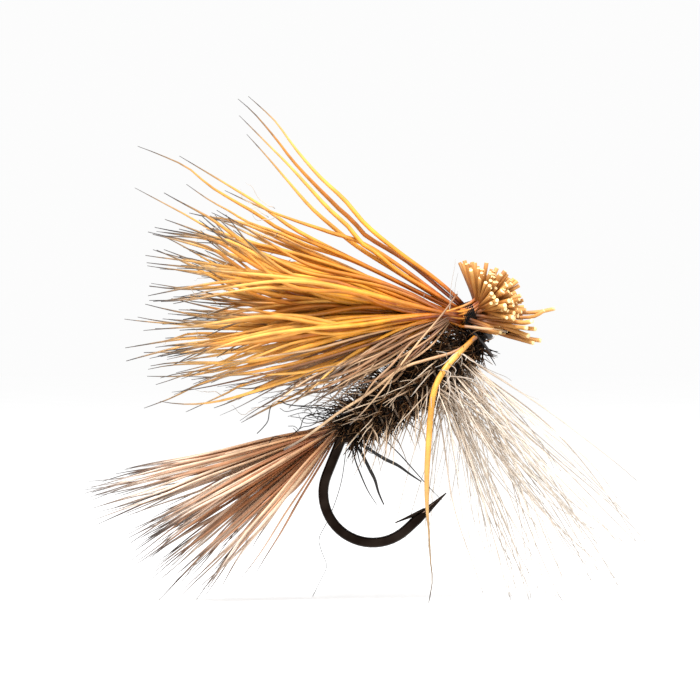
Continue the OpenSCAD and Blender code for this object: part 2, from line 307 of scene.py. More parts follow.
def hair_material(name, dark, light, roughness=0.42, specular=0.4):
    """Hair whose colour runs along it: dark and light are the ramps that a strand's tone blends between."""
    mat, tree, shader = new_material(name)
    along = attribute(tree, "along")
    tone = attribute(tree, "tone")
    grain = noise(tree, 2600.0, 3.0)
    shift = math_node(tree, "MULTIPLY", math_node(tree, "SUBTRACT", grain, 0.5), 0.12)
    place = math_node(tree, "ADD", along, shift, clamp=True)
    colour = mix(tree, tone, ramp(tree, place, dark), ramp(tree, place, light))
    patch = noise(tree, 900.0, 2.0)
    shade = ramp(tree, patch, [(0.3, (205, 205, 205)), (0.7, (255, 255, 255))])
    colour = mix(tree, 1.0, colour, shade, "MULTIPLY")
    tree.links.new(colour, shader.inputs["Base Color"])
    shader.inputs["Roughness"].default_value = roughness
    shader.inputs["Specular IOR Level"].default_value = specular
    bump(tree, shader, grain, 0.00001, 0.35)
    return mat


# The darkest root stops of WING_DARK and WING_LIGHT (0 to 0.12 along) are painted shade where the hairs crowd
# together at the collar
WING_DARK = [(0.0, (58, 18, 4)), (0.12, (122, 52, 8)), (0.4, (178, 98, 18)), (0.78, (200, 128, 44)),
             (0.88, (124, 90, 54)), (0.95, (42, 34, 30)), (1.0, (34, 29, 28))]
WING_LIGHT = [(0.0, (120, 54, 12)), (0.12, (202, 114, 26)), (0.4, (240, 168, 54)), (0.8, (240, 182, 94)),
              (0.91, (176, 140, 96)), (0.97, (72, 60, 52)), (1.0, (66, 58, 54))]
STRAY = [(0.0, (190, 116, 32)), (0.12, (236, 176, 84)), (0.35, (226, 160, 66)), (0.6, (206, 156, 88)),
         (0.8, (150, 124, 92)), (1.0, (84, 74, 68))]
TAN_DARK = [(0.0, (62, 32, 18)), (0.3, (112, 70, 42)), (0.7, (134, 92, 60)), (0.9, (70, 54, 46)),
            (1.0, (36, 32, 30))]
TAN_LIGHT = [(0.0, (142, 96, 66)), (0.3, (204, 162, 120)), (0.8, (220, 184, 144)), (0.93, (140, 118, 98)),
             (1.0, (104, 94, 88))]
TAIL_DARK = [(0.0, (58, 30, 16)), (0.2, (126, 68, 34)), (0.5, (166, 104, 60)), (0.74, (160, 114, 82)),
             (0.88, (80, 62, 52)), (1.0, (26, 22, 22))]
TAIL_LIGHT = [(0.0, (150, 92, 54)), (0.22, (216, 158, 106)), (0.5, (244, 212, 176)), (0.8, (246, 226, 206)),
              (0.9, (150, 128, 112)), (1.0, (58, 50, 48))]
BARB_DARK = [(0.0, (54, 40, 30)), (0.12, (156, 132, 110)), (0.5, (176, 162, 148)), (1.0, (152, 142, 132))]
BARB_LIGHT = [(0.0, (126, 100, 78)), (0.12, (228, 210, 188)), (0.5, (232, 220, 204)), (1.0, (192, 182, 172))]
PALMER_DARK = [(0.0, (44, 28, 18)), (0.3, (112, 82, 58)), (1.0, (150, 128, 106))]
PALMER_LIGHT = [(0.0, (112, 82, 56)), (0.3, (204, 176, 144)), (1.0, (224, 206, 184))]
# The dark root stops of BUTT_DARK and BUTT_LIGHT are painted shade at the base of the clipped dome, next to the
# collar
BUTT_DARK = [(0.0, (40, 18, 6)), (0.35, (112, 60, 20)), (0.8, (156, 96, 40)), (0.965, (186, 126, 62)),
             (0.985, (238, 204, 134)), (1.0, (244, 212, 148))]
BUTT_LIGHT = [(0.0, (64, 30, 10)), (0.35, (164, 98, 38)), (0.8, (214, 156, 84)), (0.965, (224, 174, 104)),
              (0.985, (255, 232, 172)), (1.0, (255, 236, 184))]
FUR_DARK = [(0.0, (5, 3, 3)), (1.0, (14, 9, 7))]
FUR_LIGHT = [(0.0, (42, 24, 14)), (0.5, (104, 66, 38)), (1.0, (176, 134, 92))]

wing_mat = hair_material("wing_hair", WING_DARK, WING_LIGHT, 0.38, 0.45)
stray_mat = hair_material("bent_hair", STRAY, STRAY, 0.4, 0.4)
tan_mat = hair_material("tan_hair", TAN_DARK, TAN_LIGHT, 0.42, 0.4)
tail_mat = hair_material("tail_hair", TAIL_DARK, TAIL_LIGHT, 0.42, 0.4)
barb_mat = hair_material("hackle_barbs", BARB_DARK, BARB_LIGHT, 0.55, 0.2)
palmer_mat = hair_material("palmered_barbs", PALMER_DARK, PALMER_LIGHT, 0.55, 0.2)
butt_mat = hair_material("cut_hair", BUTT_DARK, BUTT_LIGHT, 0.5, 0.35)
fur_mat = hair_material("dubbing_fur", FUR_DARK, FUR_LIGHT, 0.75, 0.12)
black_mat = hair_material("black_hair", [(0.0, (6, 5, 5)), (1.0, (22, 19, 19))],
                          [(0.0, (20, 16, 16)), (1.0, (60, 54, 52))], 0.45, 0.3)


def surface_material(name, dark, light, scale, roughness, metallic=0.0, depth=0.000004, stretch=(1, 1, 1)):
    """A solid's finish: two tones mottled by noise, with roughness that varies and a fine relief."""
    mat, tree, shader = new_material(name)
    grain = noise(tree, scale, 4.0, stretch)
    tree.links.new(ramp(tree, grain, [(0.35, dark), (0.65, light)]), shader.inputs["Base Color"])
    rough = math_node(tree, "MULTIPLY_ADD", grain, 0.25)
    rough.node.inputs[2].default_value = roughness - 0.12
    tree.links.new(rough, shader.inputs["Roughness"])
    shader.inputs["Metallic"].default_value = metallic
    bump(tree, shader, noise(tree, scale * 3.0, 3.0, stretch), depth, 0.5)
    return mat


hook_mat = surface_material("black_nickel", (30, 24, 21), (44, 37, 33), 900.0, 0.2, 1.0, 0.000002)
thread_mat = surface_material("waxed_thread", (3, 2, 2), (12, 9, 8), 5200.0, 0.72, 0.0, 0.00001)
thread_mat.node_tree.nodes["Principled BSDF"].inputs["Specular IOR Level"].default_value = 0.15
cement_mat = surface_material("head_cement", (18, 11, 8), (40, 26, 17), 1800.0, 0.3, 0.0, 0.000004)
quill_mat = surface_material("quill", (70, 56, 44), (120, 100, 80), 2400.0, 0.5, 0.0, 0.000006)
core_mat = surface_material("dubbing_core", (4, 3, 3), (14, 10, 8), 3200.0, 0.9, 0.0, 0.00004)

CAD_FINISH = {
    "hook": ("black_nickel", hook_mat),
    "thread_base": ("thread", thread_mat),
    "whip_finish": ("thread", thread_mat),
    "collar_wraps": ("thread", thread_mat),
    "tail_wraps": ("thread", thread_mat),
    "thread_tag": ("thread", thread_mat),
    "head_cement": ("cement", cement_mat),
    "front_quill": ("quill", quill_mat),
    "palmer_quill": ("quill", quill_mat),
}
for node_name, (slot_name, mat) in CAD_FINISH.items():
    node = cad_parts[node_name]
    node.data.materials.clear()
    node.data.materials.append(mat)
    if node_name in ("hook", "thread_base", "whip_finish", "head_cement", "thread_tag"):
        node.data.polygons.foreach_set("use_smooth", [True] * len(node.data.polygons))


# ---- wing ----

# Reach of the wing from the middle of the collar at each angle above +X
WING_ANGLE = [146, 151, 156, 162, 168, 176, 184, 190, 196, 201, 206, 212, 220]
WING_REACH = [12.5, 15.5, 17.6, 18.0, 17.4, 17.2, 17.3, 17.9, 17.6, 15.5, 12.5, 10.0, 7.5]

# Wing hairs that stand apart, from the tip to the collar, as (X, Z)
TOP_HAIRS = [
    [(-14.3, 13.1), (-13.4, 12.3), (-12.7, 11.6), (-11.6, 10.1), (-10.3, 8.6), (-8.9, 7.3), (-7.7, 5.9), (-5.9, 4.4),
     (-4.1, 3.1), (-3.0, 2.2), (-2.2, 1.4)],
    [(-14.9, 13.0), (-14.0, 12.2), (-12.8, 10.8), (-11.8, 9.5), (-10.6, 8.2), (-9.7, 7.3), (-9.1, 6.7), (-8.4, 6.1),
     (-7.7, 5.3), (-5.9, 4.2), (-4.8, 3.4), (-2.2, 1.2)],
    [(-14.8, 12.0), (-14.1, 11.3), (-13.1, 10.3), (-12.0, 9.2), (-10.9, 8.0), (-9.8, 6.8), (-8.6, 5.7), (-8.0, 4.9),
     (-7.1, 4.3), (-5.9, 3.3), (-4.1, 2.2), (-2.3, 1.1)],
    [(-14.4, 11.0), (-13.4, 9.9), (-12.2, 8.5), (-10.9, 7.0), (-9.8, 6.0), (-8.2, 4.7), (-6.0, 3.3), (-4.1, 2.1),
     (-2.4, 1.0)],
]
EDGE_HAIRS = [
    [(-20.5, 10.3), (-19.2, 9.8), (-17.7, 9.1), (-16.5, 8.1), (-15.2, 7.3), (-13.8, 6.5), (-12.4, 5.6), (-8.6, 4.0),
     (-2.4, 1.0)],
    [(-18.2, 9.8), (-16.7, 8.9), (-15.2, 8.0), (-13.9, 7.2), (-12.9, 6.5), (-11.6, 5.6), (-8.9, 4.2), (-2.4, 1.0)],
    [(-17.8, 8.2), (-16.5, 7.3), (-15.4, 6.7), (-14.2, 6.0), (-12.4, 5.4), (-10.9, 4.7), (-8.0, 3.7), (-2.4, 0.9)],
    [(-20.7, 8.0), (-19.2, 7.2), (-17.7, 6.4), (-16.3, 5.6), (-14.9, 5.2), (-13.4, 4.7), (-9.7, 3.7), (-2.4, 0.8)],
    [(-15.6, 7.8), (-13.9, 7.0), (-12.7, 6.5), (-11.3, 6.0), (-9.8, 5.5), (-7.2, 4.5), (-2.4, 1.1)],
    [(-19.4, 5.5), (-17.5, 5.2), (-15.6, 4.9), (-13.8, 4.6), (-10.3, 3.7), (-2.4, 0.8)],
    [(-19.2, 3.4), (-17.5, 3.3), (-15.9, 3.1), (-14.2, 2.7), (-9.7, 2.1), (-2.4, 0.7)],
    [(-19.7, 2.6), (-17.4, 2.3), (-14.2, 2.5), (-9.7, 1.9), (-2.4, 0.7)],
    [(-20.6, -0.9), (-18.8, -0.6), (-17.4, -0.2), (-14.5, -0.2), (-9.7, 0.3), (-2.4, 0.4)],
    [(-19.9, -1.6), (-18.1, -1.2), (-16.9, -0.9), (-14.9, -0.4), (-7.5, 0.2), (-2.4, 0.4)],
    [(-18.3, -2.4), (-15.9, -1.8), (-14.5, -1.4), (-13.1, -0.9), (-8.0, -0.3), (-2.4, 0.3)],
    [(-20.0, -2.6), (-18.2, -2.6), (-16.7, -2.4), (-14.2, -1.7), (-8.6, -0.6), (-2.4, 0.3)],
    [(-20.2, -4.4), (-18.6, -3.8), (-17.2, -3.1), (-15.9, -2.7), (-14.5, -2.2), (-9.7, -1.1), (-2.4, 0.2)],
    [(-17.8, -4.6), (-16.5, -4.0), (-15.2, -3.4), (-14.1, -2.9), (-8.0, -1.1), (-2.3, 0.2)],
    [(-14.7, -5.2), (-13.4, -4.5), (-12.0, -3.8), (-10.6, -3.1), (-5.8, -1.1), (-2.1, 0.1)],
]

POINTS = 26
top_tuft = Tuft("wing_top_hairs", POINTS, 8)
for flat, side_y, tone in zip(TOP_HAIRS, (-0.5, 0.3, -0.9, 0.1), (0.85, 0.1, 0.8, 0.7)):
    path = [(x, side_y * (1 - i / (len(flat) - 1)) ** 0.8 * 1.6, z) for i, (x, z) in enumerate(flat)][::-1]
    top_tuft.add(path, taper(POINTS, 0.128, 0.8, 0.1, 0.5), tone)
top_tuft.build(wing_mat, "wing_hair", ("wing_top_tuft",))

wing_edge = Tuft("wing_edge_hairs", POINTS, 8)
for flat in EDGE_HAIRS:
    side_y = rng.uniform(-2.6, 1.6)
    path = [(x, side_y * (1 - i / (len(flat) - 1)) ** 0.8, z) for i, (x, z) in enumerate(flat)][::-1]
    wing_edge.add(path, taper(POINTS, rng.uniform(0.1, 0.125), 0.8, 0.12, 0.55), rng.uniform(0.3, 0.9))


def wing_lock(tuft, angle, side, hairs, radius, tones, spread=0.75):
    """A lock of hairs that leave the collar together, lie side by side and part at their tips."""
    lock_wave = wander(POINTS, 0.7, rng.uniform(0.5, 0.9), 0.9)
    lock_bend = rng.normal(0, 0.45)
    lock_tone = rng.uniform(*tones)
    lock_reach = rng.uniform(0.81, 1.03)
    for _ in range(hairs):
        a = angle + rng.normal(0, spread)
        b = side + rng.normal(0, spread * 1.6)
        reach = np.interp(a, WING_ANGLE, WING_REACH) * np.clip(lock_reach + rng.normal(0, 0.05), 0.6, 1.04)
        d = heading(a, b)
        square = heading(a + 90, 0)
        across = np.array([0.0, 1.0, 0.0])
        spot = square * np.clip((178 - a) * 0.024, -0.6, 0.6) + across * np.clip(b * 0.028, -0.62, 0.62)
        start = BUNDLE + spot
        t = np.linspace(0, 1, POINTS)[:, None]
        arch = (lock_bend + rng.normal(0, 0.08)) * np.sin(math.pi * t) * square
        part = np.clip(t - 0.5, 0, 1) ** 2 * 4
        flick = part * (rng.normal(0.1, 0.5) * (1 if a < 180 else -1) * square + rng.normal(0, 0.5) * across)
        path = start + d * (0.35 + reach * t) + arch + flick + lock_wave + wander(POINTS, 0.1, 0.8)
        tone = np.clip(lock_tone + rng.normal(0, 0.22), 0, 1)
        tuft.add(path, taper(POINTS, radius * rng.uniform(0.85, 1.15), 0.7, 0.14, 0.6), tone)


wing_far = Tuft("wing_hair_far", POINTS, 6)
wing_mid = Tuft("wing_hair_middle", POINTS, 6)
wing_near = Tuft("wing_hair_near", POINTS, 6)
for tuft, sides, locks in ((wing_far, (7, 22), 15), (wing_mid, (-7, 7), 18), (wing_near, (-20, -6), 20)):
    for i in range(locks):
        angle = 155.5 + 39.0 * (i + rng.uniform(0.2, 0.8)) / locks
        wing_lock(tuft, angle, rng.uniform(*sides), int(rng.integers(2, 4)), 0.128, (0.1, 1.0))
wing_far.build(wing_mat, "wing_hair", ("wing_hair_lower",))
wing_mid.build(wing_mat, "wing_hair", ("wing_hair_middle",))
wing_near.build(wing_mat, "wing_hair", ("wing_hair_upper",))
for i in range(16):
    wing_lock(wing_edge, rng.uniform(188, 205), rng.uniform(-22, -8), 1, 0.1, (0.3, 1.0), 0.5)
wing_edge.build(wing_mat, "wing_hair")

# Paler hairs along the underside of the wing, over the body
under_wing = Tuft("wing_under_hairs", POINTS, 6)
for i in range(24):
    wing_lock(under_wing, rng.uniform(195, 208), rng.uniform(-19, 16), 1, 0.08, (0.0, 1.0), 0.5)
for i in range(56):
    wing_lock(under_wing, rng.uniform(203, 217), rng.uniform(-22, 6), 1, 0.06, (0.0, 0.55), 0.5)
under_wing.build(tan_mat, "wing_hair")

# Fine underfur that clings between the wing's tips
under_fur = Tuft("wing_underfur", 18, 4)
for i in range(30):
    d = heading(rng.uniform(150, 204), rng.uniform(-18, 18))
    start = BUNDLE + d * rng.uniform(10.0, 15.5)
    turn = heading(rng.uniform(135, 225), rng.uniform(-30, 30))
    t = np.linspace(0, 1, 18)[:, None]
    path = start + turn * rng.uniform(1.5, 2.8) * t + wander(18, 0.3, 1.0, 0.5)
    under_fur.add(path, taper(18, 0.018, 1.0, 0.3, 0.5), rng.uniform(0, 1))
under_fur.build(barb_mat, "wing_hair")

# ---- bound bundle and clipped butts ----

bound = Tuft("wing_bound_roots", 10, 6)
for i in range(70):
    off = rng.normal(0, 0.36, 2).clip(-0.66, 0.66)
    a, b = 176 - off[0] * 34, off[1] * 24
    square, across = heading(a - 90, 0), np.array([0.0, 1.0, 0.0])
    start = BUNDLE + square * -off[0] + across * off[1]
    path = [start + heading(37, 0) * 1.0, start, start + heading(a, b) * 2.4]
    # Tones held low so the bound roots take the darker ramp: painted shade inside the bundle at the collar
    bound.add(path, np.full(10, 0.1), rng.uniform(0, 0.4))
bound.build(wing_mat, "wing_hair", ("wing_waist",))

butts = Tuft("clipped_butts", 12, 9)
dome_n = 168
for i in range(dome_n):
    off = 63.0 * math.sqrt((i + 0.5) / dome_n) + rng.normal(0, 2.5)
    around = 137.508 * i + rng.normal(0, 5)
    swing = off * math.cos(math.radians(around))
    lean = off * math.sin(math.radians(around))
    d = heading(38 + swing, 0) * math.cos(math.radians(lean)) + np.array([0, math.sin(math.radians(lean)), 0])
    if d[2] < -0.18 and abs(d[1]) < 0.5:
        continue
    length = 3.15 * rng.uniform(0.84, 1.04) - 0.5
    start = BUNDLE + heading(37, 0) * 0.15 + d * 0.35
    first = start + (d + heading(37, 0) * 0.8) * 0.3 * length / 2
    end = start + d * length
    n = 12
    path = smooth_path([start, first, end + rng.normal(0, 0.1, 3)], n)
    path[-2] = path[-1] - (path[-1] - path[-3]) * 0.02
    radii = np.full(n, rng.uniform(0.1, 0.14))
    radii[:4] *= np.linspace(0.5, 1, 4)
    radii[-1] *= 0.9
    butts.add(path, radii, rng.uniform(0, 1))
for i in range(26):
    ahead, side_y = rng.uniform(-0.1, 0.3), rng.choice([-1, 1]) * rng.uniform(0.5, 0.85)
    start = BUNDLE + np.array([ahead, side_y, rng.uniform(-0.75, 0.3)])
    d = heading(rng.uniform(-22, 30), math.copysign(rng.uniform(0, 14), side_y))
    path = [start, start + d * 0.7, start + d * rng.uniform(1.4, 2.1)]
    butts.add(path, np.full(12, 0.1), rng.uniform(0, 0.5))
butts.build(butt_mat, "cut_hair", ("wing_butts",))

long_butts = Tuft("missed_butts", 12, 8)
for flat, y, radius in (
    ([(-1.2, 0.9), (0.6, 0.95), (1.9, 1.0), (2.9, 1.2)], -0.5, 0.11),
    ([(-1.2, 0.7), (0.6, 0.7), (1.7, 0.75), (2.3, 1.1)], -0.9, 0.1),
    ([(-1.3, 0.4), (0.0, -0.1), (1.2, -0.45), (2.1, -0.6)], -1.1, 0.12),
    ([(-1.3, 0.3), (-0.2, -0.2), (0.8, -0.5), (1.7, -0.75)], -1.3, 0.11),
    ([(-1.3, 0.5), (0.2, 0.25), (1.2, 0.1), (1.8, 0.05)], -1.4, 0.12),
    ([(-1.3, 0.5), (0.0, 0.15), (0.9, -0.15), (1.4, -0.35)], -1.6, 0.13),
    ([(-1.3, 0.5), (0.0, 0.3), (0.8, 0.15), (1.3, 0.1)], -1.9, 0.12),
    ([(-1.3, 0.6), (0.2, 0.5), (1.1, 0.4), (1.6, 0.5)], -1.7, 0.13),
    ([(-1.3, 0.5), (0.1, 0.1), (1.0, -0.2), (1.5, -0.3)], 1.5, 0.12),
):
    path = [(x, y * (0.35 + 0.65 * i / 3), z) for i, (x, z) in enumerate(flat)]
    long_butts.add(path, np.full(12, radius), rng.uniform(0.3, 0.9))
long_butts.build(butt_mat, "cut_hair", ("long_butts",))

# ---- tail ----

TAIL_N = 22
TAIL_ANGLE = [190, 196, 204, 215, 224, 229, 233]
TAIL_REACH = [14.2, 15.6, 15.2, 14.4, 14.4, 14.0, 12.0]


def tail_lock(tuft, angle, side, hairs, spread=0.8):
    """A few tail hairs that run close together and part at their dark tips."""
    lock_wave = wander(TAIL_N, 0.22, 0.7)
    lock_tone = rng.uniform(0.0, 1.0)
    lock_reach = rng.uniform(0.8, 1.0)
    for _ in range(hairs):
        a = angle + rng.normal(0, spread)
        b = side + rng.normal(0, spread * 1.5)
        d = heading(a, b)
        reach = np.interp(a, TAIL_ANGLE, TAIL_REACH) * np.clip(lock_reach + rng.normal(0, 0.06), 0.6, 1.0)
        reach = min(reach, (TAIL_TIE[2] - FLOOR_Z) / max(-d[2], 0.05))
        square = heading(angle + 90, 0)
        spot = square * np.clip((211 - a) * 0.012, -0.26, 0.26) + np.array([0, np.clip(b * 0.03, -0.3, 0.3), 0])
        t = np.linspace(0, 1, TAIL_N)[:, None]
        bow = rng.normal(0, 0.16) * np.sin(math.pi * t) * square
        path = TAIL_TIE + spot + d * reach * t + bow + lock_wave + wander(TAIL_N, 0.08, 0.9)
        tone = np.clip(lock_tone + rng.normal(0, 0.22), 0, 1)
        tuft.add(path, taper(TAIL_N, rng.uniform(0.055, 0.1), 0.7, 0.15, 0.6), tone)


for name, node_name, locks, low, high in (
    ("tail_hairs_high", "tail_hair_upper", 24, 191, 211),
    ("tail_hairs_low", "tail_hair_lower", 23, 208, 233),
):
    tuft = Tuft(name, TAIL_N, 5)
    for i in range(locks):
        angle = low + (high - low) * (i + rng.uniform(0.1, 0.9)) / locks
        tail_lock(tuft, angle, rng.normal(0, 6.5), int(rng.integers(2, 5)))
    if low > 200:
        for angle in (234, 237, 241, 232, 230):
            tail_lock(tuft, angle, rng.normal(0, 5), 1)
    tuft.build(tail_mat, "tail_hair", (node_name,))

tail_bound = Tuft("tail_bound_roots", 8, 6)
for i in range(40):
    off = rng.normal(0, 0.16, 2).clip(-0.3, 0.3)
    start = shank(-9.0, off[0], 0.6 + off[1])
    path = [start, shank(-9.7, off[0], 0.6 + off[1]), TAIL_TIE + heading(209 - off[1] * 50, off[0] * 30) * 2.6]
    tail_bound.add(path, np.full(8, 0.055), rng.uniform(0, 0.8))
tail_bound.build(tail_mat, "tail_hair", ("tail_waist", "tail_hair_butts"))

# ---- body ----


def body_core():
    """The lumpy wound core under the fur."""
    around, along = 48, 90
    verts, faces = [], []
    for i in range(along):
        u = -1.75 - (9.36 - 1.75) * i / (along - 1)
        for j in range(around):
            a = 2 * math.pi * j / around
            turn = 0.06 * math.sin(2 * math.pi * (u / 0.42 + j / around))
            r = body_radius(u) * 0.93 + turn + rng.normal(0, 0.03)
            if i in (0, along - 1):
                r = 0.42
            verts.append(shank(u, r * math.sin(a), -r * math.cos(a)) * MM)
    for i in range(along - 1):
        for j in range(around):
            k = (j + 1) % around
            faces.append((i * around + j, i * around + k, (i + 1) * around + k, (i + 1) * around + j))
    faces.append(tuple(range(around))[::-1])
    faces.append(tuple((along - 1) * around + j for j in range(around)))
    mesh = bpy.data.meshes.new("dubbing_core")
    mesh.from_pydata([tuple(v) for v in verts], [], faces)
    mesh.polygons.foreach_set("use_smooth", [True] * len(faces))
    mesh.materials.append(core_mat)
    obj = bpy.data.objects.new("dubbing_core", mesh)
    bpy.context.scene.collection.objects.link(obj)
    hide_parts("dubbed_body")
    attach(obj, "root")


body_core()


def round_body(u, angle, lift=0.0):
    """A point on the body's surface and the outward unit, angle degrees from straight below towards +Y."""
    a = math.radians(angle)
    r = body_radius(u) + lift
    p = shank(u, r * math.sin(a), -r * math.cos(a))
    out = shank(0, math.sin(a), -math.cos(a)) - shank(0, 0, 0)
    return p, out


ALONG = shank(1, 0, 0) - shank(0, 0, 0)

fur = Tuft("dubbing_fur", 9, 4)
for i in range(2600):
    u = rng.uniform(-10.0, -0.85)
    angle = rng.uniform(0, 360)
    p, out = round_body(max(u, -9.5), angle, -0.12)
    p = p + ALONG * (u - max(u, -9.5))
    spin = np.cross(ALONG, out)
    d = out * rng.uniform(0.15, 0.9) + spin * rng.normal(0, 0.7) + ALONG * rng.normal(-0.45, 0.6)
    d /= np.linalg.norm(d)
    length = rng.uniform(0.5, 1.5) * (1.5 if i % 9 == 0 else 1.0)
    length = length * (1.0 + 0.55 * max(0.0, -math.cos(math.radians(angle))))
    t = np.linspace(0, 1, 9)[:, None]
    path = p + d * length * t - out * 0.12 * length * t**2 + wander(9, 0.08, 0.6, 0.7)
    fur.add(path, taper(9, rng.uniform(0.02, 0.044), 1.0, 0.3, 0.4), rng.beta(0.6, 1.8))
fur.build(fur_mat, "dubbing", ("dubbing_fibres",))

# ---- hackle ----

palmer = Tuft("palmered_barbs", 14, 5)
for i in range(180):
    u = rng.uniform(-9.4, -3.2)
    angle = rng.uniform(0, 360)
    p, out = round_body(u, angle, -0.05)
    spin = np.cross(ALONG, out)
    d = out * 0.8 + ALONG * rng.normal(-0.5, 0.5) + spin * rng.normal(0, 0.3)
    d /= np.linalg.norm(d)
    length = rng.uniform(1.4, 3.2) * (1.0 if u < -5 else 1.2)
    t = np.linspace(0, 1, 14)[:, None]
    path = p + d * length * t + wander(14, 0.06, 0.5, 1.0) - ALONG * 0.4 * t**2
    palmer.add(path, taper(14, rng.uniform(0.024, 0.044), 1.0, 0.25, 0.5), rng.uniform(0.0, 1.0))
palmer.build(palmer_mat, "hackle", ("palmer_barbs",))


def beard(name, nodes, count, rounds, leans, lengths, tones, radius=(0.026, 0.042)):
    """Long barbs of the front hackle: rounds is the angle round the shank from straight below, in degrees."""
    n = 24
    tuft = Tuft(name, n, 5)
    for i in range(count):
        if i % 4 == 0:
            clump_around = rng.uniform(*rounds)
            clump_lean = rng.uniform(*leans)
        u = rng.uniform(-4.7, -1.9)
        around = clump_around + rng.normal(0, 6)
        p, out = round_body(u, around, -0.05)
        lean = clump_lean + rng.normal(0, 3.2)
        d = out + ALONG * math.tan(math.radians(lean))
        d /= np.linalg.norm(d)
        down = -d[2]
        length = rng.uniform(*lengths)
        length = min(length, (6.9 - p[0]) / max(d[0], 0.05), (11.4 - abs(p[1])) / max(abs(d[1]), 0.05))
        if down > 0.2:
            length = min(length, (p[2] - FLOOR_Z) / down * rng.uniform(0.92, 1.0))
        t = np.linspace(0, 1, n)[:, None]
        bow = length * rng.normal(0.015, 0.04) * np.sin(math.pi * t * 0.8) * ALONG
        path = p + d * length * t + bow + wander(n, 0.03 * length, 0.5, 1.2)
        tuft.add(path, taper(n, rng.uniform(*radius), 1.0, 0.45, 0.4), rng.uniform(*tones))
    tuft.build(barb_mat, "hackle", nodes)


beard("hackle_low", ("front_barbs_low",), 72, (-24, 24), (-24, 14), (11.0, 17.5), (0.0, 1.0), (0.027, 0.044))
beard("hackle_left", ("front_barbs_left",), 36, (26, 105), (-14, 10), (7.5, 12.0), (0.0, 1.0))
beard("hackle_right", ("front_barbs_right",), 32, (-105, -26), (-14, 10), (7.5, 12.0), (0.0, 1.0))
beard("hackle_short", (), 44, (-90, 90), (-34, 24), (2.5, 6.5), (0.0, 0.8), (0.018, 0.03))
beard("hackle_rear", (), 20, (-26, 26), (-46, -18), (7.0, 13.0), (0.2, 1.0), (0.018, 0.028))
beard("hackle_top", (), 7, (160, 200), (30, 60), (2.5, 5.0), (0.0, 0.6), (0.014, 0.02))

# ---- hairs that lie apart ----


def lone(name, nodes, material, slot, strands, n=30, sides=8):
    """Strands through (X, Y, Z) points, each with a radius and a tone."""
    tuft = Tuft(name, n, sides)
    for path, radii, tone in strands:
        tuft.add(smooth_path(path, n), radii, tone)
    return tuft.build(material, slot, nodes)


stray_path = [(-1.6, -1.1, -0.4), (-2.1, -1.5, -0.9), (-2.9, -2.0, -1.7), (-3.5, -2.25, -2.5), (-3.9, -2.3, -3.4),
              (-4.1, -2.35, -4.8), (-4.2, -2.35, -6.2), (-4.3, -2.3, -7.9), (-4.3, -2.3, -9.8), (-4.2, -2.25, -11.2),
              (-4.1, -2.2, -12.9), (-4.0, -2.1, -14.0), (-4.2, -2.05, -15.25)]
stray_radii = np.interp(
    np.linspace(0, 1, 30), [0, 0.1, 0.45, 0.62, 0.72, 1], [0.12, 0.17, 0.17, 0.13, 0.06, 0.025]
)
lone("bent_wing_hair", ("stray_hair",), stray_mat, "wing_hair", [(stray_path, stray_radii, 0.95)])

cross_path = [(-1.5, -1.2, -0.4), (-2.7, -1.6, -1.2), (-4.4, -1.9, -1.7), (-5.8, -2.1, -2.2), (-7.5, -2.1, -3.5),
              (-9.2, -2.0, -4.6), (-10.4, -1.9, -5.5), (-11.4, -1.85, -6.2), (-12.3, -1.8, -6.7)]
pale_path = [(-2.6, -1.1, 2.0), (-3.5, -1.8, 0.8), (-4.7, -2.2, -0.6), (-5.8, -2.35, -2.0), (-6.6, -2.35, -3.1),
             (-7.7, -2.2, -4.4), (-8.6, -2.1, -5.3)]
stub_path = [(-2.2, -1.0, 0.2), (-1.3, -1.12, 0.1), (-0.4, -1.05, 0.0), (0.2, -1.0, -0.1)]
lone(
    "crossing_hairs", ("crossing_hair",), tan_mat, "wing_hair",
    [
        (cross_path, np.linspace(0.09, 0.07, 30), 0.95),
        (pale_path, np.interp(np.linspace(0, 1, 30), [0, 0.6, 1], [0.05, 0.055, 0.03]), 0.85),
        (stub_path, np.linspace(0.09, 0.07, 30), 1.0),
    ],
)

guards = [
    ([(-8.3, -0.2, -6.4), (-7.9, -0.35, -7.0), (-7.5, -0.5, -7.8), (-7.2, -0.6, -8.4), (-7.0, -0.6, -9.1),
      (-6.7, -0.6, -9.8)], 0.1),
    ([(-8.1, -0.5, -6.3), (-7.5, -0.7, -6.7), (-6.7, -0.9, -7.2), (-5.9, -1.0, -7.6), (-5.2, -1.0, -8.1),
      (-4.6, -0.9, -8.5)], 0.1),
    ([(-7.3, 0.3, -5.5), (-6.5, 0.4, -6.3), (-5.7, 0.4, -7.1), (-4.9, 0.5, -8.0), (-4.1, 0.5, -8.9),
      (-3.4, 0.5, -9.6)], 0.035),
    ([(-8.5, -0.4, -6.4), (-8.3, -0.5, -7.3), (-8.0, -0.6, -8.1), (-7.6, -0.6, -9.0), (-7.1, -0.6, -9.8)], 0.045),
]
guard_strands = [
    (p, np.interp(np.linspace(0, 1, 30), [0, 0.5, 1], [r * 0.8, r, r * 0.35]), rng.uniform(0, 0.6))
    for p, r in guards
]
lone("guard_hairs", ("black_guard_hairs",), black_mat, "guard_hair", guard_strands)

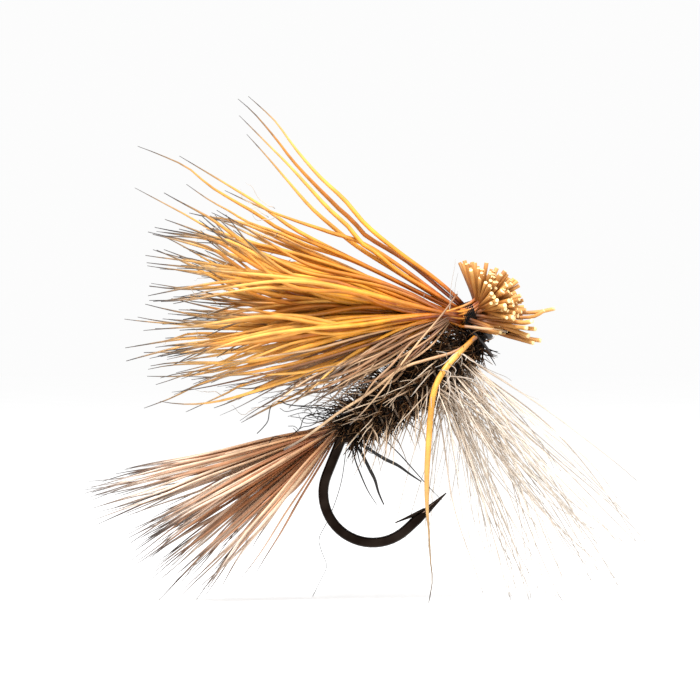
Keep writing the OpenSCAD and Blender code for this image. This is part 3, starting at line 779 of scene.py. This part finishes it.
kinks = [
    ([(-13.8, -1.2, -5.8), (-13.5, -1.0, -5.5), (-13.2, -0.8, -5.1), (-13.1, -0.7, -4.5), (-12.9, -0.6, -4.1),
      (-12.4, -0.5, -4.0), (-12.0, -0.3, -4.2), (-9.3, -0.4, -4.5)], 0.035),
    ([(-13.2, -0.8, -6.5), (-12.9, -0.9, -6.0), (-12.4, -0.9, -6.0), (-11.9, -0.8, -5.9), (-11.4, -0.7, -5.5),
      (-11.0, -0.6, -4.8), (-9.2, -0.4, -4.6)], 0.03),
    ([(-10.7, 0.8, -15.0), (-10.5, 0.8, -14.6), (-10.2, 0.7, -14.0), (-9.9, 0.7, -13.3), (-10.1, 0.6, -12.7),
      (-10.3, 0.6, -12.1), (-10.3, 0.5, -11.6), (-9.7, 0.5, -10.4), (-9.1, 0.4, -8.6), (-8.8, 0.3, -6.6)], 0.022),
]
fuzz = [(p, np.linspace(r * 0.7, r, 30), rng.uniform(0.1, 0.8)) for p, r in kinks]
for _ in range(22):
    start = shank(rng.uniform(-10.2, -7.8), rng.uniform(-0.7, 0.7), rng.uniform(0.2, 1.0))
    d = heading(rng.uniform(150, 205), rng.uniform(-28, 28))
    t = np.linspace(0, 1, 10)[:, None]
    path = start + d * rng.uniform(1.5, 4.4) * t + wander(10, 0.6, 0.8, 0.8)
    fuzz.append((path, np.linspace(0.03, 0.016, 30), rng.uniform(0, 1)))
lone("kinked_fibres", (), black_mat, "guard_hair", fuzz, sides=4)

quill_path = [(-1.7, -0.9, -0.1), (-1.1, -1.0, -0.8), (-0.8, -1.0, -1.2), (-0.6, -1.0, -1.5)]
lone("clipped_quill", ("quill_stub",), black_mat, "quill", [(quill_path, np.linspace(0.1, 0.07, 30), 0.5)])

# ---- stage, light and camera ----

floor_mat, floor_tree, floor_shader = new_material("paper")
speck = noise(floor_tree, 60.0, 2.0)
floor_tree.links.new(
    ramp(floor_tree, speck, [(0.3, (185, 185, 185)), (0.7, (188, 188, 188))]), floor_shader.inputs["Base Color"]
)
floor_shader.inputs["Emission Color"].default_value = (1.0, 1.0, 1.0, 1.0)
floor_shader.inputs["Emission Strength"].default_value = 0.485
floor_shader.inputs["Roughness"].default_value = 1.0
floor_shader.inputs["Specular IOR Level"].default_value = 0.0
mesh = bpy.data.meshes.new("floor")
z = FLOOR_Z * MM
mesh.from_pydata([(-3, -3, z), (3, -3, z), (3, 3, z), (-3, 3, z)], [], [(0, 1, 2, 3)])
mesh.materials.append(floor_mat)
floor = bpy.data.objects.new("floor", mesh)
bpy.context.scene.collection.objects.link(floor)
floor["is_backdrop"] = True

world = bpy.data.worlds.new("studio")
world.use_nodes = True
world.node_tree.nodes["Background"].inputs["Color"].default_value = (0.975, 0.975, 0.975, 1.0)
world.node_tree.nodes["Background"].inputs["Strength"].default_value = 1.0
bpy.context.scene.world = world


def lamp(name, place, aim, size, power):
    """A square soft box at place, in metres, turned to aim."""
    data = bpy.data.lights.new(name, "AREA")
    data.shape = "SQUARE"
    data.size = size
    data.energy = power
    obj = bpy.data.objects.new(name, data)
    bpy.context.scene.collection.objects.link(obj)
    obj.location = place
    direction = np.array(aim) - np.array(place)
    yaw = math.atan2(direction[1], direction[0])
    tilt = math.atan2(math.hypot(direction[0], direction[1]), -direction[2])
    obj.rotation_euler = (tilt, 0, yaw - math.pi / 2)
    return obj


lamp("key", (-0.12, -0.30, 0.42), (-0.008, 0, 0), 0.14, 5.0)
lamp("fill", (0.30, -0.22, 0.20), (-0.008, 0, 0), 0.2, 0.8)

data = bpy.data.cameras.new("camera")
data.sensor_width = 36.0
data.lens = 36.0 * 0.35 / (700.0 / 17.8 * MM)
data.clip_start = 0.02
data.clip_end = 20.0
camera = bpy.data.objects.new("camera", data)
camera.location = (-8.596 * MM, -0.35, -1.124 * MM)
camera.rotation_euler = (math.pi / 2, 0, 0)
bpy.context.scene.collection.objects.link(camera)
bpy.context.scene.camera = camera

scene = bpy.context.scene
scene.view_settings.view_transform = "Standard"
scene.view_settings.look = "None"

low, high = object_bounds()
